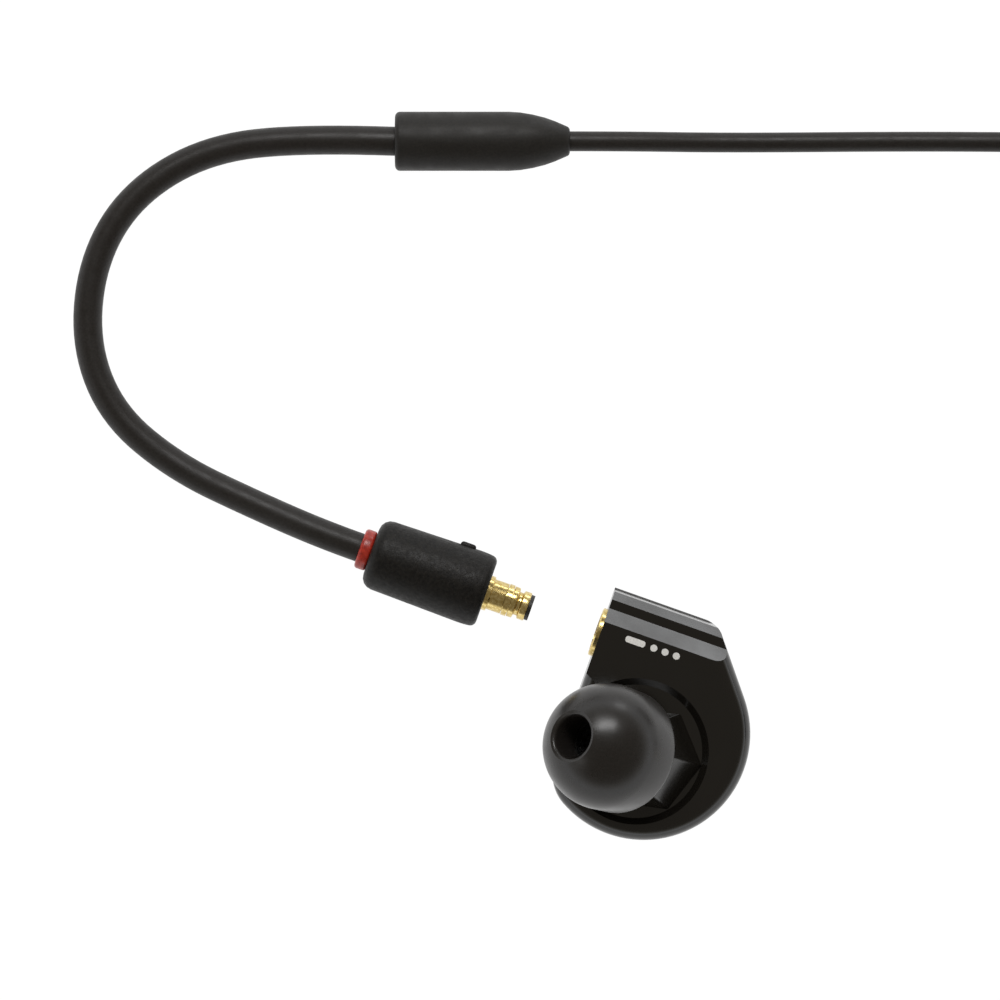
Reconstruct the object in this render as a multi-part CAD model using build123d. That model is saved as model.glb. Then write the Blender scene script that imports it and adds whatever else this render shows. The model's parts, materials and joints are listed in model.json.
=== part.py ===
from build123d import *
import math
import os

# In-ear monitor, right side, with its detachable over-ear cable. Millimetres, +Z up.
# Origin: centre of the round body on the flat outer face of the rear cover, which lies on the table.
# The plug of the cable lies in line with the socket, pulled out of it.

# ---------------------------------------------------------------- driving dimensions: housing
BODY_R = 9.85            # round body of the housing
BODY_H = 6.8             # height of the housing from the cover's outer face to the front face
COVER_T = 1.2            # rear cover plate
COVER_EDGE_R = 0.5       # rounding of the rear cover's outer edge
COVER_SEAM_R = 0.3       # rounding of the rear cover's other edge, which makes the seam's groove
COVER_STEP = 0.15        # how far the cover stands out past the front shell along the neck's top
WALL = 1.0               # side walls of the front shell
ROOF = 1.0               # front wall of the front shell
LIP_H = 0.8              # locating lip of the rear cover, height
LIP_T = 0.6              # locating lip of the rear cover, thickness
SEAM_GAP = 0.05          # clearance between lip and shell wall
NECK_TOP = BODY_R + 1.95 # neck's top line, measured across the connector's axis from the body's centre
NECK_DRAFT = 3.0         # lean of the neck's top wall, degrees
LEDGE_Z = BODY_H - 1.3   # height of the flat ledge along the neck's top
LEDGE_OUT = 1.1          # ledge's outer edge, from the neck's top line
LEDGE_IN = 1.96          # ledge's inner edge, from the neck's top line
FACET_TILT = 45.0        # lean of the two facets beside the ledge, degrees
FLANK_ANGLE = 19.5       # direction of the flat flank that joins neck and round body, degrees
NECK_FOOT = 1.6          # neck's own corner on the socket face, below the bezel
VENT_PLACE = (5.6, 1.2)  # vent in the rear cover
VENT_R = 0.4
VENT_SCREEN_T = 0.15
FLANK_CORNER_R = 2.2     # rounding between the neck's top and the flank
HEEL_R = 4.0             # rounding between the socket face and the round body
RIM_R = 1.7              # rounding of the front shell's front edge

# ---------------------------------------------------------------- driving dimensions: connector
CONNECTOR_ANGLE = 19.5   # the plug points this many degrees below +X
AXIS_OFF = NECK_TOP - 4.4  # connector's axis from the body's centre
FACE_OFF = 6.9           # socket face from the body's centre, along the connector's axis
PIN_R = 1.45             # plug's outer contact, which the socket's round sizes follow
SOCKET_BORE = PIN_R + 0.1  # bore that takes the plug's pin
SOCKET_R = SOCKET_BORE + 0.45  # socket shell, in the housing
BEZEL_R = SOCKET_R + 0.3 # socket shell, visible flange
BEZEL_PROUD = 0.4        # flange stands out of the socket face
SOCKET_LEN = 5.6         # socket shell from the socket face inwards
CLIP_R = SOCKET_R + 0.3  # retaining ring round the socket shell, inside the neck
CLIP_W = 0.6
AXIS_Z = COVER_T + CLIP_R + 0.05  # height of the connector's axis
MOUTH_DEPTH = 0.45       # wider mouth of the socket, behind the socket face
MOUTH_CLEAR = 0.07       # between the mouth and the pin's base flange, all round
SOCKET_PIN_R = 0.25      # socket's centre pin
SOCKET_PIN_TAIL = 0.5    # centre pin stands out behind the shell
SOCKET_PIN_REACH = 2.6   # centre pin's tip, behind the plugged-in barrel
SOCKET_FLOOR = 0.9       # insulator at the socket's back
HOUSING_FIT = 0.02       # between the socket shell and the housing's bore
CLIP_CLEAR = 0.1         # round the retaining ring
PIN_LEN = 4.4            # plug's outer contact, outside the barrel
PIN_FLANGE_R = PIN_R + 0.2  # base flange of the outer contact
PIN_FLANGE_LEN = 0.4     # base flange, outside the barrel
PIN_ROOT = 1.2           # outer contact and insulator, inside the core
PIN_NECK_R = PIN_R - 0.35  # groove round the pin's head
PIN_BORE = PIN_R - 0.5   # bore of the outer contact, filled by the insulator
PIN_NOSE = 0.35          # insulator's nose, ahead of the outer contact
PIN_NOSE_R = PIN_R - 0.25
CENTRE_R = 0.5           # plug's centre contact, outside
CENTRE_BORE = 0.3        # plug's centre contact, bore
RING_GROOVE = PIN_R - 0.3  # root radius of the snap ring's groove
RING_W = 0.5             # snap ring's width
RING_CLEAR = 0.05        # snap ring's running clearance, all round
RING_SLIT = 0.8          # gap in the snap ring
PLUG_TRAVEL = 11.0       # the earpiece slides this far onto the plug
SEAT_GAP = 0.13          # between barrel and socket face when plugged in
BARREL_LEN = 11.3        # plug barrel
BARREL_R = 3.5           # plug barrel, front end
BARREL_R_BACK = BARREL_R - 0.2  # plug barrel, back end
BARREL_FRONT_EDGE = (BARREL_R - BEZEL_R) / 2  # rounding of the barrel's front
BARREL_BACK_EDGE = BARREL_R_BACK / 3  # rounding of the barrel's back
BEZEL_CLEAR = 0.1        # round the socket's flange, in the barrel's recess
MARK_PLACE = 3.0         # raised side mark, behind the barrel's front
MARK_SIZE = (0.9, 1.1, 1.4)  # side mark: height, width, length
MARK_PROUD = 0.3         # side mark stands out of the barrel
CORE_R = PIN_FLANGE_R + 0.55  # moulded core inside the barrel
CORE_INSET = 1.6         # core ends this far inside the barrel's back
RING_PLACE = 2.0         # snap ring's groove, from the pin's tip
SIDE_RING_R = 1.9        # red ring that marks the side
SIDE_RING_W = 1.1

# ---------------------------------------------------------------- driving dimensions: nozzle and ear tip
NOZZLE_TILT = 39.5       # nozzle's axis from +Z
NOZZLE_TURN = 161.0      # direction the nozzle leans to, degrees from +X
TIP_RIM = (-1.72, -1.55, BODY_H + 4.4)  # centre of the ear tip's open rim
TIP_R = 5.8              # ear tip, widest radius
TIP_LEN = 8.4            # ear tip, from its open rim to its nose
TIP_WALL = 0.6           # ear tip, dome thickness
TIP_HOLE_R = 1.95        # ear tip, opening in the nose
NOZZLE_R = 2.25          # nozzle tube, outside, which the sizes round it follow
STEM_R = NOZZLE_R + 0.85 # ear tip, outside of its inner stem
STEM_BACK = 0.7          # stem reaches this far behind the rim
NOZZLE_LIP = NOZZLE_R + 0.07  # nozzle tube, retaining lip
NOZZLE_BORE = NOZZLE_R - 0.7
NOZZLE_FRONT = 5.2       # nozzle's end, ahead of the rim's plane
NOZZLE_SEAT = 1.0        # top of the nozzle base, behind the rim's plane
NOZZLE_ROOT = NOZZLE_R - 0.35  # nozzle tube's root in the base, radius
NOZZLE_ROOT_LEN = 3.0
NOZZLE_LIP_W = 0.8       # width of the retaining lip
ROOT_FIT = 0.02          # between the tube's root and the base's hole
MESH_R = NOZZLE_R - 0.35 # wax guard in the nozzle's mouth
MESH_SEAT = 0.35         # depth of the wax guard's seat
MESH_T = 0.15
DAMPER_BORE_R = 0.3      # acoustic damper in the nozzle
DAMPER_PLACE = 0.6
DAMPER_LEN = 1.2
TIP_NOSE_FLAT = 0.2      # how far the nose is blunted
TIP_STOP = 0.15          # clearance ahead of the nozzle's end
TIP_FIT = 0.05           # clearance between ear tip and nozzle lip
BASE_R = 5.2             # six-sided nozzle base, corner radius at the front face
BASE_TOP_R = NOZZLE_R + 1.05  # six-sided nozzle base, corner radius at its top
BASE_CENTRE = (0.33, -2.25)
BASE_TURN = -8.0         # direction of one corner of the base, degrees
BASE_SINK = 0.25         # base starts this far below the dish's floor
BASE_EDGE_R = 0.3        # rounding of the base's six side edges
MOAT_R = 6.75            # shallow dish round the nozzle base
MOAT_CENTRE = (-0.79, -1.6)
MOAT_DEPTH = 0.45
MOAT_SLOPE = 0.6         # width of the dish's sloping rim

# ---------------------------------------------------------------- driving dimensions: driver
DRIVER_CENTRE = (0.3, -1.5)
DRIVER_R = 5.0
DRIVER_BASE = 1.9        # height of the yoke's back
YOKE_R = 3.6
YOKE_T = 0.4
YOKE_H = 2.0
YOKE_WALL = 0.45
MAGNET_R = 2.3
MAGNET_T = 0.9
PLATE_T = 0.5
COIL_IN = 2.55           # voice coil's inner radius
COIL_T = 0.2
DIAPHRAGM_T = 0.08
DIAPHRAGM_TRAVEL = 0.12  # each way
DIAPHRAGM_RISE = 0.55    # diaphragm's rim above the yoke
DISH = 0.4               # height of the diaphragm's dome
SURROUND_W = 0.5         # frame's ledge outside the diaphragm
FRAME_FIT = 0.02         # between frame and yoke
GRILLE_T = 0.2
BOARD = (3.2, 1.6, 0.25) # terminal board behind the yoke
BOARD_DROP = 0.45        # terminal board's underside, below the yoke's back
WIRE_R = 0.12            # wires from the driver to the socket
WIRE_BEND = 0.35
WIRE_GAP = 0.2           # wire's end behind the socket shell, taken up by its solder joint

# ---------------------------------------------------------------- driving dimensions: cable
LOOP_D = 2.7             # ear loop tube
WIRE_D = 0.8             # memory wire in the ear loop
CABLE_D = 1.85           # thin cable
SLEEVE_R = 2.74
SLEEVE_LEN = 16.2
REST_GAP = 0.02          # cable lies this far above the table
SLEEVE_X = -23.0         # left end of the sleeve
CABLE_Y = 54.8
COIL_R = 13.3            # mean radius of the coiled length
COIL_WIDE = 4            # turns side by side, and on each other
TURN_PITCH = CABLE_D + 0.15  # distance between neighbouring turns
COIL_CENTRE = (52.8, CABLE_Y - COIL_R)
TIE_T = 0.8
TIE_W = 6.0
TIE_ANGLE = 250.0        # where the tie holds the coil, degrees from +X
TIE_GAP = 0.1
JACK_X = 64.6            # axis of the stereo plug, which points along -Y
JACK_TOP = 18.6          # end of its strain relief, on the cable's side
JACK_R = 3.6
JACK_GRIP = 15.0
RELIEF_LEN = 8.0
RELIEF_R = 1.6           # strain relief's thin end
JACK_PIN_R = 1.75        # standard 3.5 mm stereo plug
JACK_SLEEVE = 6.6        # length of the sleeve contact
JACK_RING = 2.2
JACK_TIP = 4.4
JACK_GAP = 0.5           # width of each insulating ring
JACK_RECESS = 0.2        # insulating rings lie below the contacts
JACK_COLLAR = 1.0        # collar between grip and sleeve contact

# Points of the ear loop's route, from the side ring to the sleeve.
LOOP_ROUTE = [
    (-36.0, 21.1, 2.3),
    (-43.4, 24.6, 1.4),
    (-49.4, 29.6, 1.36),
    (-51.9, 36.4, 1.36),
    (-51.0, 44.2, 1.36),
    (-47.2, 50.2, 1.36),
    (-40.3, 54.2, 1.5),
    (-31.2, 55.1, 2.6),
]
LOOP_START_RUN = 3.6     # the tube leaves the side ring straight for this far

# Points of the thin cable's route, from the sleeve to the coil.
LEAD_ROUTE = [
    (-1.6, CABLE_Y, 2.74),
    (8.0, CABLE_Y - 0.05, 0.95),
    (26.0, CABLE_Y + 0.1, 0.95),
    (41.5, CABLE_Y - 0.05, 0.95),
]

# Points of the cable's tail, from the coil's right side to the stereo plug.
TAIL_ROUTE = [
    (COIL_CENTRE[0] + COIL_R + 0.05, 35.0, 0.95),
    (JACK_X + 1.1, 28.2, 1.5),
    (JACK_X, 23.2, 3.55),
]

LOW = (Align.CENTER, Align.CENTER, Align.MIN)


def unit(angle):
    """Unit vector in the table's plane, at an angle in degrees from +X."""
    return Vector(math.cos(math.radians(angle)), math.sin(math.radians(angle)), 0)


# Directions of the connector: the plug points along POINT, and ACROSS is square to it.
POINT = unit(-CONNECTOR_ANGLE)
ACROSS = unit(90 - CONNECTOR_ANGLE)

# Connector frame: Z runs from the body's centre towards the cable.
CONNECTOR = Plane(origin=ACROSS * AXIS_OFF + Vector(0, 0, AXIS_Z), x_dir=ACROSS, z_dir=POINT * -1)

# Nozzle frame: Z runs out through the ear tip's nose, from the rim's centre.
LEAN = unit(NOZZLE_TURN)
TILT = math.radians(NOZZLE_TILT)
NOZZLE = Plane(
    origin=TIP_RIM,
    x_dir=Vector(0, 0, 1).cross(LEAN),
    z_dir=LEAN * math.sin(TILT) + Vector(0, 0, math.cos(TILT)),
)


def turned(plane, points):
    """Solid of revolution about a plane's Z axis, from (radius, height) points."""
    profile = Plane.XZ * make_face(Polyline(*points, close=True))
    return plane.location * revolve(profile, Axis.Z)


def ring(plane, inner, outer, low, high):
    """Round tube about a plane's Z axis; a solid rod when inner is 0."""
    return turned(plane, [(inner, low), (outer, low), (outer, high), (inner, high)])


def at(place, height=0.0):
    """Upright plane over a point of the table's plane."""
    return Plane(origin=(place[0], place[1], height))


def slab(face, low, high):
    """A face in the table's plane, drawn out from one height to another."""
    return extrude(Pos(0, 0, low) * face, high - low)


def half_space(point, normal):
    """Large block that lies beyond a plane through a point."""
    side = 60
    plane = Plane(origin=point, z_dir=normal)
    return plane.location * Box(side, side, side, align=LOW)


# ---------------------------------------------------------------- housing outline
def behind_face():
    """Sketch that covers everything on the body's side of the socket face."""
    half = Plane(origin=POINT * -FACE_OFF, x_dir=POINT, z_dir=(0, 0, 1)).location
    return half * Rectangle(6 * BODY_R, 6 * BODY_R, align=(Align.MIN, Align.CENTER))


def round_outline():
    """Round body, cut flat along the socket face and rounded at the heel."""
    heel = POINT * -FACE_OFF - ACROSS * math.sqrt(BODY_R ** 2 - FACE_OFF ** 2)
    shape = Circle(BODY_R) & behind_face()
    return fillet(shape.vertices().sort_by_distance(heel)[0], HEEL_R)


def neck_outline():
    """Neck: flat top along the connector, flat flank, and the socket face."""
    flank = unit(FLANK_ANGLE)
    along = (BODY_R - NECK_TOP * flank.dot(ACROSS)) / flank.dot(POINT)
    face_foot = POINT * -FACE_OFF + ACROSS * (AXIS_OFF - BEZEL_R - NECK_FOOT)
    corner = ACROSS * NECK_TOP + POINT * along
    top_left = ACROSS * NECK_TOP - POINT * FACE_OFF
    rim = [top_left, corner, flank * BODY_R, Vector(0, 0, 0), face_foot]
    neck = make_face(Polyline(*[(v.X, v.Y) for v in rim], close=True))
    return fillet(neck.vertices().sort_by_distance(corner)[0], FLANK_CORNER_R)


def outline(inset=0.0):
    """Whole outline of the housing."""
    shape = round_outline() + neck_outline()
    return offset(shape, -inset) if inset else shape


def trim_neck(solid, depth=0.0):
    """Cut a solid back to the neck's top: wall, outer facet, ledge and ridge facet, moved in by a depth."""
    draft = math.radians(NECK_DRAFT)
    tilt = math.radians(FACET_TILT)
    wall_out = ACROSS * math.cos(draft) + Vector(0, 0, math.sin(draft))
    facet_out = ACROSS * math.sin(tilt) + Vector(0, 0, math.cos(tilt))
    up = Vector(0, 0, 1)
    wall = ACROSS * (NECK_TOP - COVER_STEP) + up * COVER_T
    ledge_outer = ACROSS * (NECK_TOP - LEDGE_OUT) + up * LEDGE_Z
    ledge_inner = ACROSS * (NECK_TOP - LEDGE_IN) + up * LEDGE_Z
    solid -= half_space(wall - wall_out * depth, wall_out)
    solid -= half_space(ledge_outer - facet_out * depth, facet_out)
    beyond_ridge = half_space(ledge_inner - facet_out * depth, facet_out)
    return solid - (beyond_ridge & half_space(ledge_inner - up * depth, up))


def edges_at(solid, height):
    """Edges of a solid that lie at a height."""
    return solid.edges().filter_by_position(Axis.Z, height - 0.01, height + 0.01)


def hexagon(radius, turn):
    """Flat six-sided outline with its first corner at an angle."""
    corners = [unit(turn + 60 * k) * radius for k in range(6)]
    return make_face(Polyline(*[(v.X, v.Y) for v in corners], close=True))


def pierced(plane, radius, thickness, hole, rows):
    """Round plate with rings of small holes."""
    plate = ring(plane, 0, radius, 0, thickness)
    holes = []
    for row in range(1, rows + 1):
        reach = row * radius / (rows + 0.7)
        holes += [plane.location * Pos(unit(360 * k / (6 * row)) * reach) * Cylinder(hole, 3 * thickness)
                  for k in range(6 * row)]
    return plate - holes


# ---------------------------------------------------------------- housing
def front_shell():
    """Front shell: hollow body and neck, with the six-sided nozzle base on its face."""
    body = slab(round_outline(), COVER_T, BODY_H)
    body = trim_neck(fillet(edges_at(body, BODY_H), RIM_R))
    neck = slab(neck_outline(), COVER_T, BODY_H)
    flank = unit(FLANK_ANGLE)
    reach = BODY_R - FLANK_CORNER_R / 2
    neck = fillet([edge for edge in edges_at(neck, BODY_H) if edge.center().dot(flank) > reach], RIM_R)
    shell = body + trim_neck(neck)
    shell -= turned(at(MOAT_CENTRE), [
        (0, BODY_H - MOAT_DEPTH),
        (MOAT_R - MOAT_SLOPE, BODY_H - MOAT_DEPTH),
        (MOAT_R, BODY_H),
        (MOAT_R, BODY_H + 1),
        (0, BODY_H + 1),
    ])
    shell += nozzle_base()
    shell -= trim_neck(slab(outline(WALL), COVER_T - 1, BODY_H - ROOF), WALL)
    shell -= ring(NOZZLE, 0, NOZZLE_ROOT, -NOZZLE_SEAT - NOZZLE_ROOT_LEN, 1)
    channel = ring(NOZZLE, 0, NOZZLE_BORE, -2 * BODY_H, 1)
    shell -= channel & half_space((0, 0, BODY_H - ROOF - 0.2), (0, 0, 1))
    shell -= ring(CONNECTOR, 0, SOCKET_R + HOUSING_FIT, 0, FACE_OFF + 1)
    shell -= ring(CONNECTOR, 0, CLIP_R + CLIP_CLEAR, FACE_OFF - WALL - CLIP_W - CLIP_CLEAR, FACE_OFF - WALL)
    return shell


def nozzle_base():
    """Six-sided base that carries the nozzle, leaning from the front face to the nozzle's axis."""
    foot = at(BASE_CENTRE, BODY_H - MOAT_DEPTH - BASE_SINK)
    top = NOZZLE.offset(-NOZZLE_SEAT)
    first = unit(BASE_TURN)
    turn = math.degrees(math.atan2(first.dot(top.y_dir), first.dot(top.x_dir)))
    base = loft([foot * hexagon(BASE_R, BASE_TURN), top * hexagon(BASE_TOP_R, turn)], ruled=True)
    sides = base.edges().sort_by(SortBy.LENGTH)[-6:]
    return fillet(sides, BASE_EDGE_R)


def rear_cover():
    """Flat outer cover with a locating lip and a vent."""
    cover = slab(outline(), 0, COVER_T)
    cover = fillet(edges_at(cover, 0), COVER_EDGE_R)
    cover = fillet(edges_at(cover, COVER_T), COVER_SEAM_R)
    lip = slab(outline(WALL + SEAM_GAP), COVER_T, COVER_T + LIP_H)
    lip -= slab(outline(WALL + SEAM_GAP + LIP_T), COVER_T, COVER_T + LIP_H)
    lip = trim_neck(lip, WALL + SEAM_GAP)
    lip -= ring(CONNECTOR, 0, CLIP_R + 2 * CLIP_CLEAR, 0, FACE_OFF)
    return cover + lip - ring(at(VENT_PLACE), 0, VENT_R, -1, COVER_T + 1)


def vent_screen():
    """Fine screen over the vent, inside the cover."""
    return ring(at(VENT_PLACE), 0, VENT_R + 0.7, COVER_T, COVER_T + VENT_SCREEN_T)


# ---------------------------------------------------------------- nozzle and ear tip
def nozzle_tube():
    """Sound tube with a retaining lip at its end and a root in the nozzle base."""
    lip = NOZZLE_FRONT - NOZZLE_LIP_W
    root = NOZZLE_ROOT - ROOT_FIT
    tube_r = NOZZLE_R - 0.15
    mouth = MESH_R + ROOT_FIT
    return turned(NOZZLE, [
        (NOZZLE_BORE, -NOZZLE_SEAT - NOZZLE_ROOT_LEN),
        (root, -NOZZLE_SEAT - NOZZLE_ROOT_LEN),
        (root, -NOZZLE_SEAT),
        (tube_r, -NOZZLE_SEAT),
        (tube_r, lip),
        (NOZZLE_LIP, lip),
        (NOZZLE_LIP - 0.15, NOZZLE_FRONT),
        (mouth, NOZZLE_FRONT),
        (mouth, NOZZLE_FRONT - MESH_SEAT),
        (NOZZLE_BORE, NOZZLE_FRONT - MESH_SEAT),
    ])


def nozzle_mesh():
    """Wax guard: a pierced disc in the nozzle's mouth."""
    return pierced(NOZZLE.offset(NOZZLE_FRONT - MESH_SEAT + ROOT_FIT), MESH_R, MESH_T, 0.16, 3)


def acoustic_damper():
    """Damping plug in the nozzle's bore."""
    return ring(NOZZLE, DAMPER_BORE_R, NOZZLE_BORE - ROOT_FIT, DAMPER_PLACE, DAMPER_PLACE + DAMPER_LEN)


def ear_tip():
    """Silicone ear tip: round dome turned back over an inner stem."""
    bore = NOZZLE_LIP + TIP_FIT
    centre = TIP_LEN - math.sqrt(TIP_R ** 2 - TIP_HOLE_R ** 2) + TIP_NOSE_FLAT
    inner = TIP_R - TIP_WALL
    steps = 9
    reach = math.acos((TIP_LEN - centre) / TIP_R)
    dome = [(TIP_R * math.sin(a), centre + TIP_R * math.cos(a))
            for a in [math.pi / 2 + (reach - math.pi / 2) * k / steps for k in range(1, steps + 1)]]
    inside = math.asin((STEM_R + 0.3) / inner)
    under = [(inner * math.sin(a), centre + inner * math.cos(a))
             for a in [inside + (math.pi / 2 - inside) * k / steps for k in range(steps)]]
    return turned(NOZZLE, [
        (bore, -STEM_BACK),
        (STEM_R, -STEM_BACK),
        (STEM_R, under[0][1] - 0.3),
        *under,
        (inner, centre),
        (inner - 0.1, 0),
        (TIP_R - 0.15, 0),
        (TIP_R, centre),
        *dome,
        (TIP_HOLE_R + 0.25, TIP_LEN),
        (TIP_HOLE_R, TIP_LEN - 0.25),
        (TIP_HOLE_R, NOZZLE_FRONT + TIP_STOP),
        (bore, NOZZLE_FRONT + TIP_STOP),
    ])


# ---------------------------------------------------------------- driver
def driver_parts():
    """Moving-coil driver under the nozzle, from its back to its front."""
    base = at(DRIVER_CENTRE, DRIVER_BASE)
    magnet_low = YOKE_T
    plate_low = magnet_low + MAGNET_T
    plate_high = plate_low + PLATE_T
    front = YOKE_H + DIAPHRAGM_RISE
    coil_out = COIL_IN + COIL_T
    cone = DRIVER_R - SURROUND_W
    surround = [
        (0, front + DISH),
        (COIL_IN * 0.6, front + DISH * 0.75),
        (coil_out, front),
        (0.5 * (coil_out + cone), front + DISH * 0.6),
        (cone, front),
    ]
    back = [(r, z - DIAPHRAGM_T) for r, z in reversed(surround)]
    gap = DIAPHRAGM_TRAVEL + DIAPHRAGM_T
    grille_low = front + DISH + gap
    yoke = ring(base, 0, YOKE_R, 0, YOKE_T) + ring(base, YOKE_R - YOKE_WALL, YOKE_R, YOKE_T, YOKE_H)
    board = Box(*BOARD, align=LOW)
    return {
        "driver_yoke": yoke,
        "driver_magnet": ring(base, 0, MAGNET_R, magnet_low, plate_low),
        "driver_top_plate": ring(base, 0, MAGNET_R + 0.1, plate_low, plate_high),
        "driver_frame": turned(base, [
            (YOKE_R + FRAME_FIT, 0.2),
            (YOKE_R + 0.5, 0.2),
            (DRIVER_R, 1.2),
            (DRIVER_R, grille_low),
            (cone + 0.1, grille_low),
            (cone + 0.1, front - gap - 0.1),
            (YOKE_R + 0.3, front - gap - 0.5),
            (YOKE_R + FRAME_FIT, front - gap - 0.5),
        ]),
        "voice_coil": ring(base, COIL_IN, coil_out, plate_low + 0.1, front - DIAPHRAGM_T),
        "diaphragm": turned(base, surround + back),
        "driver_front_grille": pierced(base.offset(grille_low), DRIVER_R, GRILLE_T, 0.35, 3),
        "driver_gasket": ring(
            base, DRIVER_R - 0.8, DRIVER_R, grille_low + GRILLE_T, BODY_H - ROOF - DRIVER_BASE),
        "driver_rear_damper": ring(base, YOKE_R * 0.35, YOKE_R - 0.2, -0.2, 0),
        "driver_terminal_board": base.location * Pos(0, YOKE_R * 0.55, -BOARD_DROP) * board,
    }


def lead_wire(side):
    """Thin wire from the terminal board to the socket; side is 1 or -1."""
    board_edge = DRIVER_CENTRE[1] + YOKE_R * 0.55 + BOARD[1] / 2
    start = Vector(DRIVER_CENTRE[0] + side * 1.1, board_edge + WIRE_R, DRIVER_BASE - 0.3)
    end = CONNECTOR.origin - POINT * (FACE_OFF - SOCKET_LEN - WIRE_GAP) + ACROSS * side * SOCKET_BORE
    middle = Vector(start.X + side * 0.5, start.Y + 1.6, DRIVER_BASE - 0.1)
    rise = Vector(end.X + 0.5 * side, end.Y - 1.0, end.Z - 0.6)
    path = FilletPolyline(start, middle, rise, end, radius=WIRE_BEND)
    return sweep(Plane(origin=start, z_dir=path % 0) * Circle(WIRE_R), path)


# ---------------------------------------------------------------- socket
def socket_shell():
    """Gold socket: visible flange, shell, and the bore with a wider mouth for the plug's pin."""
    back = FACE_OFF - SOCKET_LEN
    front = FACE_OFF + BEZEL_PROUD
    mouth = PIN_FLANGE_R + MOUTH_CLEAR
    return turned(CONNECTOR, [
        (SOCKET_BORE, back),
        (SOCKET_R, back),
        (SOCKET_R, FACE_OFF),
        (BEZEL_R, FACE_OFF),
        (BEZEL_R, front - 0.1),
        (BEZEL_R - 0.1, front),
        (mouth, front),
        (mouth, FACE_OFF - MOUTH_DEPTH),
        (SOCKET_BORE, FACE_OFF - MOUTH_DEPTH),
    ])


def socket_parts():
    """What the socket shell holds, and the ring that keeps it in the neck."""
    back = FACE_OFF - SOCKET_LEN
    pin_tip = FACE_OFF + SEAT_GAP - SOCKET_PIN_REACH
    return {
        "socket_insulator": ring(CONNECTOR, SOCKET_PIN_R, SOCKET_BORE, back, back + SOCKET_FLOOR),
        "socket_centre_pin": ring(CONNECTOR, 0, SOCKET_PIN_R, back - SOCKET_PIN_TAIL, pin_tip),
        "socket_clip": ring(CONNECTOR, SOCKET_R, CLIP_R, FACE_OFF - WALL - CLIP_W, FACE_OFF - WALL),
    }


# ---------------------------------------------------------------- plug of the earpiece's cable
BARREL_FRONT = FACE_OFF + SEAT_GAP + PLUG_TRAVEL
BARREL_BACK = BARREL_FRONT + BARREL_LEN
LOOP_START = BARREL_BACK + SIDE_RING_W
RECESS = BEZEL_PROUD + BEZEL_CLEAR


def plug_barrel():
    """Moulded barrel with a recess for the socket's flange and a small raised side mark."""
    recess_r = BEZEL_R + BEZEL_CLEAR
    shoulder = BARREL_BACK - 0.4
    barrel = turned(CONNECTOR, [
        (recess_r, BARREL_FRONT),
        (BARREL_R - BARREL_FRONT_EDGE, BARREL_FRONT),
        (BARREL_R - 0.25 * BARREL_FRONT_EDGE, BARREL_FRONT + 0.5 * BARREL_FRONT_EDGE),
        (BARREL_R, BARREL_FRONT + 1.5 * BARREL_FRONT_EDGE),
        (BARREL_R_BACK, shoulder - BARREL_BACK_EDGE),
        (BARREL_R_BACK - 0.3 * BARREL_BACK_EDGE, shoulder),
        (BARREL_R_BACK - BARREL_BACK_EDGE, BARREL_BACK),
        (LOOP_D / 2, BARREL_BACK),
        (LOOP_D / 2, BARREL_BACK - CORE_INSET),
        (CORE_R, BARREL_BACK - CORE_INSET),
        (CORE_R, BARREL_FRONT + RECESS),
        (recess_r, BARREL_FRONT + RECESS),
    ])
    place = Pos(BARREL_R + MARK_PROUD - MARK_SIZE[0] / 2, 0, BARREL_FRONT + MARK_PLACE)
    mark = CONNECTOR.location * place * Box(*MARK_SIZE)
    return barrel + (mark - ring(CONNECTOR, 0, CORE_R + 0.2, BARREL_FRONT, BARREL_BACK))


def plug_outer_contact():
    """Gold sleeve of the plug's pin: base flange, snap ring groove and grooved head."""
    tip = BARREL_FRONT - PIN_LEN
    groove = tip + RING_PLACE
    groove_end = groove + RING_W + 2 * RING_CLEAR
    root = BARREL_FRONT + RECESS + PIN_ROOT
    return turned(CONNECTOR, [
        (PIN_BORE, tip + PIN_NOSE),
        (PIN_R - 0.1, tip + PIN_NOSE),
        (PIN_R - 0.1, tip + 1.0),
        (PIN_NECK_R, tip + 1.1),
        (PIN_NECK_R, tip + 1.4),
        (PIN_R, tip + 1.5),
        (PIN_R, groove),
        (RING_GROOVE, groove),
        (RING_GROOVE, groove_end),
        (PIN_R, groove_end),
        (PIN_R, BARREL_FRONT - PIN_FLANGE_LEN - 0.05),
        (PIN_FLANGE_R, BARREL_FRONT - PIN_FLANGE_LEN),
        (PIN_FLANGE_R, root),
        (PIN_BORE, root),
    ])


def snap_ring():
    """Split ring that runs in the pin's groove and clicks into the socket."""
    low = BARREL_FRONT - PIN_LEN + RING_PLACE + RING_CLEAR
    whole = ring(CONNECTOR, RING_GROOVE + RING_CLEAR, SOCKET_BORE - RING_CLEAR, low, low + RING_W)
    return whole - CONNECTOR.location * Pos(0, PIN_R, low) * Box(RING_SLIT, 2 * PIN_R, 4 * RING_W)


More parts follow.
